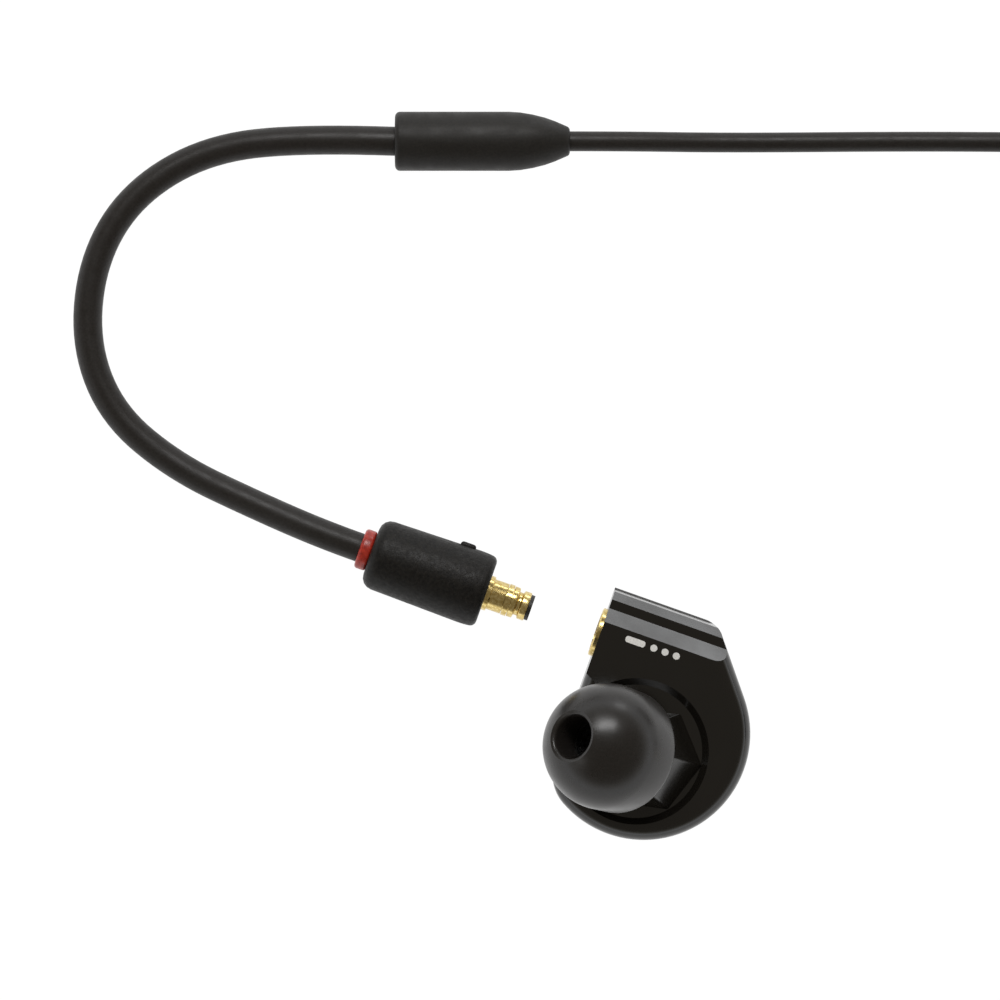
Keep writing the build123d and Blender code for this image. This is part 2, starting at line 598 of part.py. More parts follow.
def plug_parts():
    """Everything on the cable's earpiece end, from the pin's tip to the red side ring."""
    tip = BARREL_FRONT - PIN_LEN
    core_low = BARREL_FRONT + RECESS
    contact_root = core_low + PIN_ROOT
    nose = ring(CONNECTOR, CENTRE_R, PIN_NOSE_R, tip, tip + PIN_NOSE)
    return {
        "plug_barrel": plug_barrel(),
        "plug_outer_contact": plug_outer_contact(),
        "plug_insulator": nose + ring(CONNECTOR, CENTRE_R, PIN_BORE, tip + PIN_NOSE, contact_root),
        "plug_centre_contact": ring(CONNECTOR, CENTRE_BORE, CENTRE_R, tip + 0.3, contact_root + 1.0),
        "plug_core": ring(CONNECTOR, CENTRE_R, CORE_R, contact_root, BARREL_BACK - CORE_INSET)
        + ring(CONNECTOR, PIN_FLANGE_R, CORE_R, core_low, contact_root),
        "side_ring": ring(CONNECTOR, WIRE_D / 2, SIDE_RING_R, BARREL_BACK, LOOP_START),
    }


# ---------------------------------------------------------------- cords
def cord_path(points):
    """Straight runs joined by arcs as large as the runs allow; also gives the radii."""
    spots = [Vector(*p) for p in points]
    runs = [b - a for a, b in zip(spots, spots[1:])]
    radii = []
    for one, two in zip(runs, runs[1:]):
        half_turn = math.radians(one.get_angle(two)) / 2
        radii.append(0.45 * min(one.length, two.length) / math.tan(half_turn))
    return FilletPolyline(*spots, radius=radii), radii


def tube(name, points, diameter, bore=0.0):
    """Round cord along a route, with its radii and a volume check printed."""
    path, radii = cord_path(points)
    start = Plane(origin=path @ 0, z_dir=path % 0)
    solid = sweep(start * Circle(diameter / 2), path)
    expected = math.pi * diameter ** 2 / 4 * path.length
    print(f"{name}: length {path.length:.1f}, radii {[round(r, 1) for r in radii]}, "
          f"volume {solid.volume:.2f} of {expected:.2f}")
    if bore:
        solid -= sweep(start * Circle(bore / 2), path)
    return solid


def cords():
    """Ear loop with its memory wire, and the free stretches of the thin cable."""
    start = CONNECTOR.origin - POINT * LOOP_START
    straight = start - POINT * LOOP_START_RUN
    loop = [start, straight, *LOOP_ROUTE, (SLEEVE_X, CABLE_Y, SLEEVE_R)]
    rest = CABLE_D / 2 + REST_GAP
    coil_top = (COIL_CENTRE[0], CABLE_Y, rest)
    coil_side = (COIL_CENTRE[0] + COIL_R, COIL_CENTRE[1], rest)
    lead = [(SLEEVE_X + SLEEVE_LEN, CABLE_Y, SLEEVE_R), *LEAD_ROUTE, coil_top]
    tail = [coil_side, *TAIL_ROUTE, (JACK_X, JACK_TOP, JACK_R)]
    return {
        "ear_loop": tube("ear_loop", loop, LOOP_D, WIRE_D + 0.04),
        "memory_wire": tube("memory_wire", loop, WIRE_D),
        "cable_lead": tube("cable_lead", lead, CABLE_D),
        "cable_tail": tube("cable_tail", tail, CABLE_D),
    }


def cable_sleeve():
    """Moulded sleeve where the ear loop ends and the thin cable starts."""
    axis = Plane(origin=(SLEEVE_X, CABLE_Y, SLEEVE_R), z_dir=(1, 0, 0))
    return turned(axis, [
        (0, 0),
        (SLEEVE_R - 0.25, 0),
        (SLEEVE_R, 0.5),
        (SLEEVE_R, SLEEVE_LEN - 3.6),
        (SLEEVE_R - 0.15, SLEEVE_LEN - 3.0),
        (SLEEVE_R - 0.45, SLEEVE_LEN - 2.2),
        (SLEEVE_R - 0.85, SLEEVE_LEN - 1.0),
        (CABLE_D / 2 + 0.35, SLEEVE_LEN),
        (0, SLEEVE_LEN),
    ])


def coil_and_tie():
    """Closed solid of the coiled length, and the strap round it, which the coil steps over."""
    half = COIL_WIDE * TURN_PITCH / 2
    top = COIL_WIDE * TURN_PITCH + TIE_T
    middle = at(COIL_CENTRE)
    inner = COIL_R - half
    outer = COIL_R + half
    around = middle.location * Rot(0, 0, TIE_ANGLE)
    strip = around * Box(2 * outer, TIE_W, 3 * top, align=(Align.MIN, Align.CENTER, Align.CENTER))
    under = (Align.MIN, Align.CENTER, Align.MIN)
    channel = around * Box(2 * outer, TIE_W + 2 * TIE_GAP, TIE_T + TIE_GAP, align=under)
    coil = ring(middle, inner, outer, 0, top) - channel
    strap = ring(middle, inner - TIE_GAP - TIE_T, outer + TIE_GAP + TIE_T, 0, top + TIE_GAP + TIE_T)
    strap -= ring(middle, inner - TIE_GAP, outer + TIE_GAP, TIE_T, top + TIE_GAP)
    return {"cable_coil": coil, "coil_tie": strap & strip}


def jack_parts():
    """Stereo plug on the cable's far end."""
    axis = Plane(origin=(JACK_X, JACK_TOP, JACK_R), z_dir=(0, -1, 0))
    grip_end = RELIEF_LEN + JACK_GRIP
    collar = grip_end + JACK_COLLAR
    ring_low = collar + JACK_SLEEVE + JACK_GAP
    tip_low = ring_low + JACK_RING + JACK_GAP
    tip = [
        (0, tip_low),
        (JACK_PIN_R, tip_low),
        (JACK_PIN_R, tip_low + 0.4),
        (JACK_PIN_R - 0.5, tip_low + 1.3),
        (JACK_PIN_R - 0.1, tip_low + 2.4),
        (JACK_PIN_R - 0.15, tip_low + 2.9),
        (0.5, tip_low + JACK_TIP),
        (0, tip_low + JACK_TIP),
    ]
    grip = [
        (0, RELIEF_LEN),
        (JACK_R - 0.6, RELIEF_LEN),
        (JACK_R, RELIEF_LEN + 0.8),
        (JACK_R, grip_end - 0.4),
        (JACK_R - 0.4, grip_end),
        (JACK_R - 0.8, grip_end),
        (JACK_R - 0.8, collar),
        (0, collar),
    ]
    gap_r = JACK_PIN_R - JACK_RECESS
    gaps = [ring(axis, 0, gap_r, low - JACK_GAP, low) for low in (ring_low, tip_low)]
    relief = [(0, 0), (RELIEF_R, 0), (RELIEF_R + 0.8, RELIEF_LEN), (0, RELIEF_LEN)]
    return {
        "jack_strain_relief": turned(axis, relief),
        "jack_grip": turned(axis, grip),
        "jack_sleeve_contact": ring(axis, 0, JACK_PIN_R, collar, collar + JACK_SLEEVE),
        "jack_insulators": Compound(children=gaps),
        "jack_ring_contact": ring(axis, 0, JACK_PIN_R, ring_low, ring_low + JACK_RING),
        "jack_tip_contact": turned(axis, tip),
    }


nodes = {
    "front_shell": front_shell(),
    "rear_cover": rear_cover(),
    "vent_screen": vent_screen(),
    "nozzle_tube": nozzle_tube(),
    "nozzle_mesh": nozzle_mesh(),
    "acoustic_damper": acoustic_damper(),
    "ear_tip": ear_tip(),
    **driver_parts(),
    "socket_shell": socket_shell(),
    **socket_parts(),
    "lead_wire_signal": lead_wire(1),
    "lead_wire_ground": lead_wire(-1),
    "snap_ring": snap_ring(),
    **plug_parts(),
    **cords(),
    "cable_sleeve": cable_sleeve(),
    **coil_and_tie(),
    **jack_parts(),
}

os.makedirs("parts", exist_ok=True)
for name, solid in nodes.items():
    export_step(solid, f"parts/{name}.step")
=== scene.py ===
import bpy
import bmesh
import json
import math
from mathutils import Matrix, Vector

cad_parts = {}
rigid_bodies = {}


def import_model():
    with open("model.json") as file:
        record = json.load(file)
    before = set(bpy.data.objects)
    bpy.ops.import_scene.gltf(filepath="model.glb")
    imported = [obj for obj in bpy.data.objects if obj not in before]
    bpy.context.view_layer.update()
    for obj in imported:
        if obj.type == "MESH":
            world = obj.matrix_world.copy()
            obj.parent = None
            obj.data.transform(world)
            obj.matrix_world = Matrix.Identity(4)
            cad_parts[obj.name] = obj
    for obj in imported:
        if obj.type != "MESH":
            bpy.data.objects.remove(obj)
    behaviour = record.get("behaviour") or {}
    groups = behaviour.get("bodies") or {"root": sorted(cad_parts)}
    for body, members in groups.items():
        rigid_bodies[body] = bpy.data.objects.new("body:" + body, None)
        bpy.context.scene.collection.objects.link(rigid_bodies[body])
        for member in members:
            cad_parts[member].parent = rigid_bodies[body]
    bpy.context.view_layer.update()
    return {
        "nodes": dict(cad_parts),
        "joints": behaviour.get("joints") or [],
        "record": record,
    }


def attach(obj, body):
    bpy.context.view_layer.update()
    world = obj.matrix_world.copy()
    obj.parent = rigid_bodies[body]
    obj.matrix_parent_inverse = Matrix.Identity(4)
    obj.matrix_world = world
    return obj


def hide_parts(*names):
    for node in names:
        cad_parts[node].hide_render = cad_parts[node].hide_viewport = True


for leftover in list(bpy.data.objects):
    bpy.data.objects.remove(leftover)
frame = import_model()

# In-ear monitor with its detachable cable, pulled out of the socket and lying on a table.
# Lengths are written in millimetres and turned to metres by MM.
MM = 0.001
FACET_ANGLE = 30.0       # CAD facets that meet at more than this many degrees keep a sharp edge,
SHARP_ANGLE = 35.0       # and faces of the pieces made here at more than this many
nodes = frame["nodes"]
joints = {joint["name"]: joint for joint in frame["joints"]}


# ---------------------------------------------------------------- small tools
def linear(code):
    """Linear RGBA from an sRGB hex colour."""
    parts = [int(code[k:k + 2], 16) / 255 for k in (1, 3, 5)]
    return [c / 12.92 if c <= 0.04045 else ((c + 0.055) / 1.055) ** 2.4 for c in parts] + [1.0]


def add_node(owner, kind, settings=None, **links):
    """Adds a node to a material or world; each link names an input and gives a socket or a value."""
    node = owner.node_tree.nodes.new(kind)
    for name, value in (settings or {}).items():
        setattr(node, name, value)
    for name, value in links.items():
        socket = node.inputs[name.replace("_", " ")]
        if isinstance(value, bpy.types.NodeSocket):
            owner.node_tree.links.new(value, socket)
        else:
            socket.default_value = value
    return node


def new_material(name, colour, roughness, metallic=0.0, **shader):
    """A material with a Principled shader; returns the material and the shader."""
    material = bpy.data.materials.new(name)
    material.use_nodes = True
    surface = material.node_tree.nodes["Principled BSDF"]
    surface.inputs["Base Color"].default_value = linear(colour)
    surface.inputs["Roughness"].default_value = roughness
    surface.inputs["Metallic"].default_value = metallic
    for key, value in shader.items():
        surface.inputs[key.replace("_", " ")].default_value = value
    return material, surface


def paint(material, *names):
    """Gives CAD nodes a material, and keeps their flat facets flat."""
    for name in names:
        mesh = nodes[name].data
        mesh.set_sharp_from_angle(angle=math.radians(FACET_ANGLE))
        mesh.materials.clear()
        mesh.materials.append(material)


# ---------------------------------------------------------------- camera
VIEW_CENTRE = (-13.27, 21.55)
VIEW_WIDTH = 92.5
VIEW_HEIGHT = 4.0        # the width is measured at this height
VIEW_DISTANCE = 600.0
SENSOR = 36.0

camera = bpy.data.objects.new("camera", bpy.data.cameras.new("camera"))
camera.data.sensor_width = SENSOR
camera.data.lens = SENSOR * VIEW_DISTANCE / VIEW_WIDTH
camera.data.clip_start = 0.01
camera.data.clip_end = 20
camera.location = (VIEW_CENTRE[0] * MM, VIEW_CENTRE[1] * MM, (VIEW_HEIGHT + VIEW_DISTANCE) * MM)
bpy.context.collection.objects.link(camera)
bpy.context.scene.camera = camera
bpy.context.scene.view_settings.view_transform = "Standard"


# ---------------------------------------------------------------- cords
LOOP_D, CABLE_D = 2.7, 1.85
SLEEVE_START, SLEEVE_END = (-23.0, 54.8, 2.74), (-6.8, 54.8, 2.74)
JACK_AT = (64.6, 18.6, 3.6)      # end of the stereo plug's strain relief, on the cable's side
LOOP_ROUTE = [
    (-26.213, 17.133, 3.55),
    (-29.606, 18.335, 3.55),
    (-36.0, 21.1, 2.3),
    (-43.4, 24.6, 1.4),
    (-49.4, 29.6, 1.36),
    (-51.9, 36.4, 1.36),
    (-51.0, 44.2, 1.36),
    (-47.2, 50.2, 1.36),
    (-40.3, 54.2, 1.5),
    (-31.2, 55.1, 2.6),
    SLEEVE_START,
]
LEAD_ROUTE = [
    SLEEVE_END,
    (-1.6, 54.8, 2.74),
    (8.0, 54.75, 0.95),
    (26.0, 54.9, 0.95),
    (41.5, 54.75, 0.95),
]
TAIL_ROUTE = [
    (67.4, 33.2, 2.9),
    (65.9, 27.6, 2.3),
    (64.7, 22.9, 3.4),
    JACK_AT,
]
COIL_CENTRE, COIL_R = (52.8, 41.5), 13.3     # middle and mean radius of the coil
COIL_WIDE, TURN_PITCH = 4, 2.0               # turns side by side, and their distance


def nurbs(name, points, diameter):
    """A cord along control points in millimetres, as a smooth curve with a round section."""
    curve = bpy.data.curves.new(name, "CURVE")
    curve.dimensions = "3D"
    spline = curve.splines.new("NURBS")
    spline.points.add(len(points) - 1)
    for point, place in zip(spline.points, points):
        point.co = [c * MM for c in place] + [1]
        point.radius = diameter / 2 * MM
    spline.order_u = 3
    spline.use_endpoint_u = True
    spline.resolution_u = 8
    curve.bevel_depth = 1.0      # the points' own radius gives the thickness
    curve.bevel_resolution = 8
    curve.use_fill_caps = True
    cord = bpy.data.objects.new(name, curve)
    bpy.context.collection.objects.link(cord)
    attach(cord, "cable")
    return cord


# Order in which the turns fill the coil: (column from the inside, layer from the table).
WINDING = [
    (3, 0), (2, 0), (1, 0), (0, 0),
    (0, 1), (0, 2), (0, 3),
    (1, 3), (1, 2), (1, 1),
    (2, 1), (2, 2), (2, 3),
    (3, 3), (3, 2), (3, 1),
]
COIL_START = 108.0       # the lead joins the outer turn at this angle
COIL_EXIT = -15.0        # and the tail leaves it at this one, degrees from +X
TURN_POINTS = 16         # points on each turn
TURN_SHIFT = 0.1         # share of a turn in which a cord moves to its next place
FIRST_SHIFT = 0.88       # share of the first turn that is done when it moves
TABLE_GAP = 0.03         # between the lowest turns and the table
TIE_ANGLE = 250.0        # where the tie holds the coil, degrees from +X
TIE_T = 0.8              # thickness of the strap, which lifts the turns over it
LIFT_START = 60          # the turns start to rise this many degrees before the tie
LIFT_RUN = 30            # and are at their full height after this many more


def coil_points():
    """Turns of the coil, clockwise, from the lead to the tail.

    Where the winding order bends, a turn moves to its next place sooner than the turn before it.
    """
    start_shift = [FIRST_SHIFT]
    for one, two, three in zip(WINDING, WINDING[1:], WINDING[2:]):
        straight = (two[0] - one[0], two[1] - one[1]) == (three[0] - two[0], three[1] - two[1])
        start_shift.append(start_shift[-1] - (0 if straight else TURN_SHIFT))
    start_shift.append(start_shift[-1])
    turns = len(WINDING) - 1 + (COIL_START - COIL_EXIT) / 360
    points = []
    for k in range(round(turns * TURN_POINTS) + 1):
        done = k / TURN_POINTS
        turn = min(int(done), len(WINDING) - 1)
        after = min(turn + 1, len(WINDING) - 1)
        share = min(max((done - turn - start_shift[turn]) / TURN_SHIFT, 0.0), 1.0)
        column = WINDING[turn][0] + (WINDING[after][0] - WINDING[turn][0]) * share
        layer = WINDING[turn][1] + (WINDING[after][1] - WINDING[turn][1]) * share
        angle = COIL_START - 360 * done
        radius = COIL_R + (column - (COIL_WIDE - 1) / 2) * TURN_PITCH
        away = abs((angle - TIE_ANGLE + 180) % 360 - 180)
        lift = TIE_T * min(max((LIFT_START - away) / LIFT_RUN, 0.0), 1.0)
        spot = math.radians(angle)
        x = COIL_CENTRE[0] + radius * math.cos(spot)
        y = COIL_CENTRE[1] + radius * math.sin(spot)
        points.append((x, y, CABLE_D / 2 + TABLE_GAP + layer * TURN_PITCH + lift))
    return points


ear_loop = nurbs("ear_loop_tube", LOOP_ROUTE, LOOP_D)
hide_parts("ear_loop", "memory_wire")
cable = nurbs("thin_cable", LEAD_ROUTE + coil_points() + TAIL_ROUTE, CABLE_D)
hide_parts("cable_lead", "cable_coil", "cable_tail")


# ---------------------------------------------------------------- frames of the axes
def axis_frame(origin, along, side):
    """Matrix from millimetres to metres, with Z along a direction and X towards a side."""
    z = Vector(along).normalized()
    x = (Vector(side) - z * z.dot(Vector(side))).normalized()
    turn = Matrix((x, z.cross(x), z)).transposed().to_4x4()
    return Matrix.Translation(Vector(origin) * MM) @ turn @ Matrix.Scale(MM, 4)


swivel = joints["connector_swivel"]
pull = joints["ear_tip_pull"]
POINT = Vector(swivel["axis"])                       # the plug points this way
ACROSS = Vector((-POINT.y, POINT.x, 0))
AXIS_AT = ACROSS * ACROSS.dot(Vector(swivel["pos_m"])) / MM + Vector((0, 0, swivel["pos_m"][2] / MM))
CONNECTOR = axis_frame(AXIS_AT, -POINT, ACROSS)      # from the body's centre towards the cable
TIP_MOUNT = next(mount for mount in frame["record"]["mounts"] if mount["name"] == "ear_tip_outside")
TIP_NOSE = Vector(TIP_MOUNT["pos_m"]) / MM
NOZZLE = axis_frame(TIP_NOSE, pull["axis"], (0, 0, 1))   # zero at the ear tip's nose
SLEEVE_AXIS = axis_frame(SLEEVE_START, (1, 0, 0), (0, 0, 1))
JACK_AXIS = axis_frame(JACK_AT, (0, -1, 0), (0, 0, 1))
FRONT_FACE = 6.8         # height of the housing's front face


# ---------------------------------------------------------------- shapes
MERGE = 0.0005           # points closer than this are one


def keep_shape(name, shape, place, material, body):
    """Turns a bmesh in millimetres into a finished piece that rides on a body."""
    bmesh.ops.transform(shape, matrix=place, verts=shape.verts)
    mesh = bpy.data.meshes.new(name)
    shape.to_mesh(mesh)
    shape.free()
    for face in mesh.polygons:
        face.use_smooth = True
    mesh.set_sharp_from_angle(angle=math.radians(SHARP_ANGLE))
    mesh.materials.append(material)
    piece = bpy.data.objects.new(name, mesh)
    bpy.context.collection.objects.link(piece)
    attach(piece, body)
    return piece


def rounded(shape, parts, offset, segments, affect):
    """Rounds edges or corners of a shape."""
    bmesh.ops.bevel(shape, geom=parts, offset=offset, offset_type="OFFSET", segments=segments,
                    profile=0.5, affect=affect, material=-1)


def spun(outline, steps=96):
    """Turned shape: an outline of (radius, height) or (radius, height, rounding), spun about Z."""
    shape = bmesh.new()
    corners = [shape.verts.new((point[0], 0, point[1])) for point in outline]
    for one, two in zip(corners, corners[1:] + corners[:1]):
        if one.co.x > 0 or two.co.x > 0:
            shape.edges.new((one, two))
    for corner, point in zip(corners, outline):
        if len(point) == 3:
            rounded(shape, [corner], point[2], 4, "VERTICES")
    bmesh.ops.spin(shape, geom=shape.verts[:] + shape.edges[:], cent=(0, 0, 0), axis=(0, 0, 1),
                   angle=2 * math.pi, steps=steps, use_merge=True)
    bmesh.ops.remove_doubles(shape, verts=shape.verts, dist=MERGE)
    bmesh.ops.dissolve_degenerate(shape, edges=shape.edges, dist=MERGE)
    bmesh.ops.recalc_face_normals(shape, faces=shape.faces)
    return shape


def arc(radius, centre, start, end, steps):
    """Points (radius, height) on a circle about the axis; angles in degrees from +Z."""
    angles = [math.radians(start + (end - start) * k / steps) for k in range(steps + 1)]
    return [(radius * math.sin(a), centre + radius * math.cos(a)) for a in angles]


# ---------------------------------------------------------------- materials
def grain(material, surface, size, depth, strength=1.0):
    """Fine random relief, its grain's size and depth in millimetres; returns coordinates and pattern."""
    place = add_node(material, "ShaderNodeTexCoord")
    noise = add_node(material, "ShaderNodeTexNoise", Vector=place.outputs["Object"],
                     Scale=1 / (size * MM), Detail=3.0)
    bump = add_node(material, "ShaderNodeBump", Strength=strength, Distance=depth * MM,
                    Height=noise.outputs["Fac"])
    material.node_tree.links.new(bump.outputs["Normal"], surface.inputs["Normal"])
    return place, noise


def vary(material, surface, place, size, low, high):
    """Lets the roughness drift between two limits over patches of a size in millimetres."""
    patches = add_node(material, "ShaderNodeTexNoise", Vector=place.outputs["Object"],
                       Scale=1 / (size * MM), Detail=4.0)
    spread = add_node(material, "ShaderNodeMapRange", Value=patches.outputs["Fac"],
                      From_Min=0.3, From_Max=0.7, To_Min=low, To_Max=high)
    material.node_tree.links.new(spread.outputs["Result"], surface.inputs["Roughness"])


def two_tone(material, surface, pattern, low, high):
    """Lets the colour run between two hex colours over the middle of a pattern's range."""
    ramp = add_node(material, "ShaderNodeValToRGB", Fac=pattern)
    ramp.color_ramp.elements[0].position = 0.35
    ramp.color_ramp.elements[1].position = 0.65
    ramp.color_ramp.elements[0].color = linear(low)
    ramp.color_ramp.elements[1].color = linear(high)
    material.node_tree.links.new(ramp.outputs["Color"], surface.inputs["Base Color"])


def gloss_abs():
    """Housing: ABS moulded in a polished tool, so it mirrors softly, with a faint sink ripple."""
    material, surface = new_material("gloss_moulded_abs", "#14120f", 0.16, IOR=1.52)
    place, _ = grain(material, surface, 2.5, 0.004, 0.35)
    vary(material, surface, place, 4.0, 0.13, 0.22)
    return material


def satin_silicone():
    """Ear tip: liquid silicone moulded in a honed tool, satin, with fine dust on it."""
    material, surface = new_material("satin_liquid_silicone", "#1d1b19", 0.3, IOR=1.43)
    place, dust = grain(material, surface, 0.12, 0.003, 0.5)
    vary(material, surface, place, 1.6, 0.26, 0.34)
    two_tone(material, surface, dust.outputs["Fac"], "#1a1816", "#24211f")
    return material


def spark_polycarbonate():
    """Barrel and grip: polycarbonate from a spark-eroded tool, a coarse matte speckle 0.3 mm across."""
    material, surface = new_material("spark_eroded_polycarbonate", "#0e0d0c", 0.5, IOR=1.42)
    surface.inputs["Specular IOR Level"].default_value = 0.3
    place, speckle = grain(material, surface, 0.3, 0.03, 0.9)
    two_tone(material, surface, speckle.outputs["Fac"], "#090807", "#191714")
    vary(material, surface, place, 0.4, 0.42, 0.6)
    return material


def jacket(name, colour, light, roughness):
    """Jacket or overmould: thermoplastic elastomer, extruded or moulded, with a fine drag grain."""
    material, surface = new_material(name, colour, roughness, IOR=1.42)
    surface.inputs["Specular IOR Level"].default_value = 0.42
    place, drag = grain(material, surface, 0.2, 0.006, 0.5)
    two_tone(material, surface, drag.outputs["Fac"], colour, light)
    vary(material, surface, place, 1.2, roughness - 0.06, roughness + 0.08)
    return material


def gold_plate():
    """Contacts: turned brass, nickel under a thin gold plate, with faint traces of the tool."""
    material, surface = new_material("gold_plated_brass", "#d6bd7c", 0.2, metallic=1.0)
    place, lines = grain(material, surface, 0.25, 0.001, 0.5)
    two_tone(material, surface, lines.outputs["Fac"], "#c4a964", "#e8d395")
    vary(material, surface, place, 0.8, 0.14, 0.3)
    return material


def red_moulding():
    """Side ring: polypropylene coloured red in the mass, moulded, satin."""
    material, surface = new_material("red_moulded_polypropylene", "#a02414", 0.32, IOR=1.49)
    _, flow = grain(material, surface, 0.4, 0.006, 0.5)
    two_tone(material, surface, flow.outputs["Fac"], "#8c1c10", "#b43322")
    return material


def plain(name, low, high, roughness, metallic, size, depth):
    """Print or inner piece: two close tones and a grain of its own size."""
    material, surface = new_material(name, low, roughness, metallic)
    place, pattern = grain(material, surface, size, depth)
    two_tone(material, surface, pattern.outputs["Fac"], low, high)
    vary(material, surface, place, 5 * size, 0.8 * roughness, 1.2 * roughness)
    return material


RIB_PITCH = 1.139        # between the strap's ribs, which are coarser than real threads so that they show
BANDS_PER_UNIT = 10 * math.sqrt(3) / (2 * math.pi)   # across a diagonal wave texture of scale 1


def woven_strap():
    """Tie: a nylon strap, dull and slightly fuzzy, with the diagonal ribs of its weave."""
    material, surface = new_material("woven_nylon_strap", "#181817", 0.8, IOR=1.5)
    surface.inputs["Sheen Weight"].default_value = 0.25
    place = add_node(material, "ShaderNodeTexCoord")
    warp = add_node(material, "ShaderNodeTexWave", {"bands_direction": "DIAGONAL"},
                    Vector=place.outputs["Object"], Scale=1 / (RIB_PITCH * MM) / BANDS_PER_UNIT,
                    Distortion=1.5, Detail=2.0)
    bump = add_node(material, "ShaderNodeBump", Strength=0.8, Distance=0.08 * MM,
                    Height=warp.outputs["Fac"])
    material.node_tree.links.new(bump.outputs["Normal"], surface.inputs["Normal"])
    two_tone(material, surface, warp.outputs["Fac"], "#121211", "#2b2a28")
    return material


ABS = gloss_abs()
SILICONE = satin_silicone()
SPARK = spark_polycarbonate()
JACKET = jacket("extruded_tpe_jacket", "#1c1917", "#252220", 0.45)
OVERMOULD = jacket("moulded_tpe_sleeve", "#171513", "#1f1d1a", 0.52)
GOLD = gold_plate()
RED = red_moulding()
STRAP = woven_strap()
# Pad-printed ink: an even, slightly chalky white film.
INK = plain("white_pad_printed_ink", "#dcdcda", "#f2f2f0", 0.45, 0.0, 0.1, 0.004)
# Glass-filled nylon: a dull moulding, faintly mottled by its fibres.
DARK_MOULDING = plain("glass_filled_nylon", "#131211", "#1d1c1a", 0.5, 0.0, 0.2, 0.008)
# Nickel-plated pressed steel: a soft grey shine.
STEEL = plain("nickel_plated_steel", "#9a9a97", "#b9b9b5", 0.3, 1.0, 0.3, 0.003)
# Nickel-plated sintered neodymium: a brighter shine over a slightly uneven body.
MAGNET = plain("nickel_plated_neodymium", "#b4b3ad", "#cbcac4", 0.2, 1.0, 0.5, 0.002)
# Drawn spring steel: a bluish grey with fine drawing marks.
SPRING = plain("spring_steel_wire", "#8b8d90", "#a7a9ab", 0.25, 1.0, 0.1, 0.002)
# Copper wire under clear enamel: orange and glossy.
COPPER = plain("enamelled_copper_wire", "#9c4a22", "#c4683a", 0.28, 1.0, 0.1, 0.004)
# Heat-formed PET film: a thin, shiny, yellowish skin.
FILM = plain("formed_pet_film", "#8f8a7c", "#b5b0a2", 0.25, 0.0, 0.4, 0.004)
# Glass-epoxy board under green solder resist: smooth, with a low ripple.
BOARD = plain("green_solder_resist_board", "#12402a", "#1b5838", 0.35, 0.0, 0.6, 0.006)
# Pressed felt: dull and fibrous.
FELT = plain("pressed_damping_felt", "#55524c", "#8a867d", 0.95, 0.0, 0.08, 0.03)
# Blackened steel screen: dark, with a dull metal shine.
SCREEN = plain("blackened_steel_screen", "#1c1c1d", "#2c2d2e", 0.4, 1.0, 0.12, 0.006)


# ---------------------------------------------------------------- pieces: ear tip
def ear_tip():
    """Silicone dome turned back over its stem, with a rolled rim and a rounded nose."""
    length, wide, wall = 8.4, 5.8, 0.6           # of the dome
    hole, bore, stop = 1.95, 2.37, 5.35          # the sound hole, and the bore up to its stop
    stem, stem_back = 3.1, 0.7                   # the stem, and how far it stands out behind
    centre = length - math.sqrt(wide ** 2 - hole ** 2) + 0.2
    inner = wide - wall
    nose = math.degrees(math.asin((hole + 0.45) / wide))
    under = math.degrees(math.asin((stem + 0.3) / inner))
    root = centre + inner * math.cos(math.radians(under)) - 0.35
    outline = [
        (bore, -stem_back, 0.1),
        (stem, -stem_back, 0.25),
        (stem, root, 0.3),
        *arc(inner, centre, under, 90, 14),
        (inner - 0.12, 0.25),
        (inner, -0.02, 0.12),
        (wide - 0.3, 0.0, 0.14),
        (wide - 0.12, 0.55),
        *arc(wide, centre, 90, nose, 24),
        (hole + 0.16, length - 0.06, 0.1),
        (hole, length - 0.35),
        (hole, stop),
        (bore, stop),
    ]
    shape = spun([(radius, height - length, *rounding) for radius, height, *rounding in outline], 128)
    piece = keep_shape("silicone_ear_tip", shape, NOZZLE, SILICONE, "ear_tip")
    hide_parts("ear_tip")


ear_tip()


# ---------------------------------------------------------------- pieces: plug
FACE_OFF, SEAT_GAP, PLUG_TRAVEL, BARREL_LENGTH = 6.9, 0.13, 11.0, 11.3
BARREL_FRONT = FACE_OFF + SEAT_GAP + PLUG_TRAVEL
BARREL_BACK = BARREL_FRONT + BARREL_LENGTH
BARREL_R, BARREL_R_BACK = 3.5, 3.3
RECESS_R, RECESS = 2.4, 0.5      # shallow recess in the barrel's front
CORE_R, CORE_INSET = 2.2, 1.6    # the hollow for the core, and its wall at the back
PIN_R, PIN_NOSE_R, PIN_BORE = 1.45, 1.35, 0.95
PIN_NECK_R, RING_GROOVE, PIN_FLANGE_R = 1.1, 1.15, 1.65
PIN_FRONT = BARREL_FRONT - 4.05  # front edge of the outer contact
SIDE_RING_R, SIDE_RING_HOLE = 1.9, 0.4


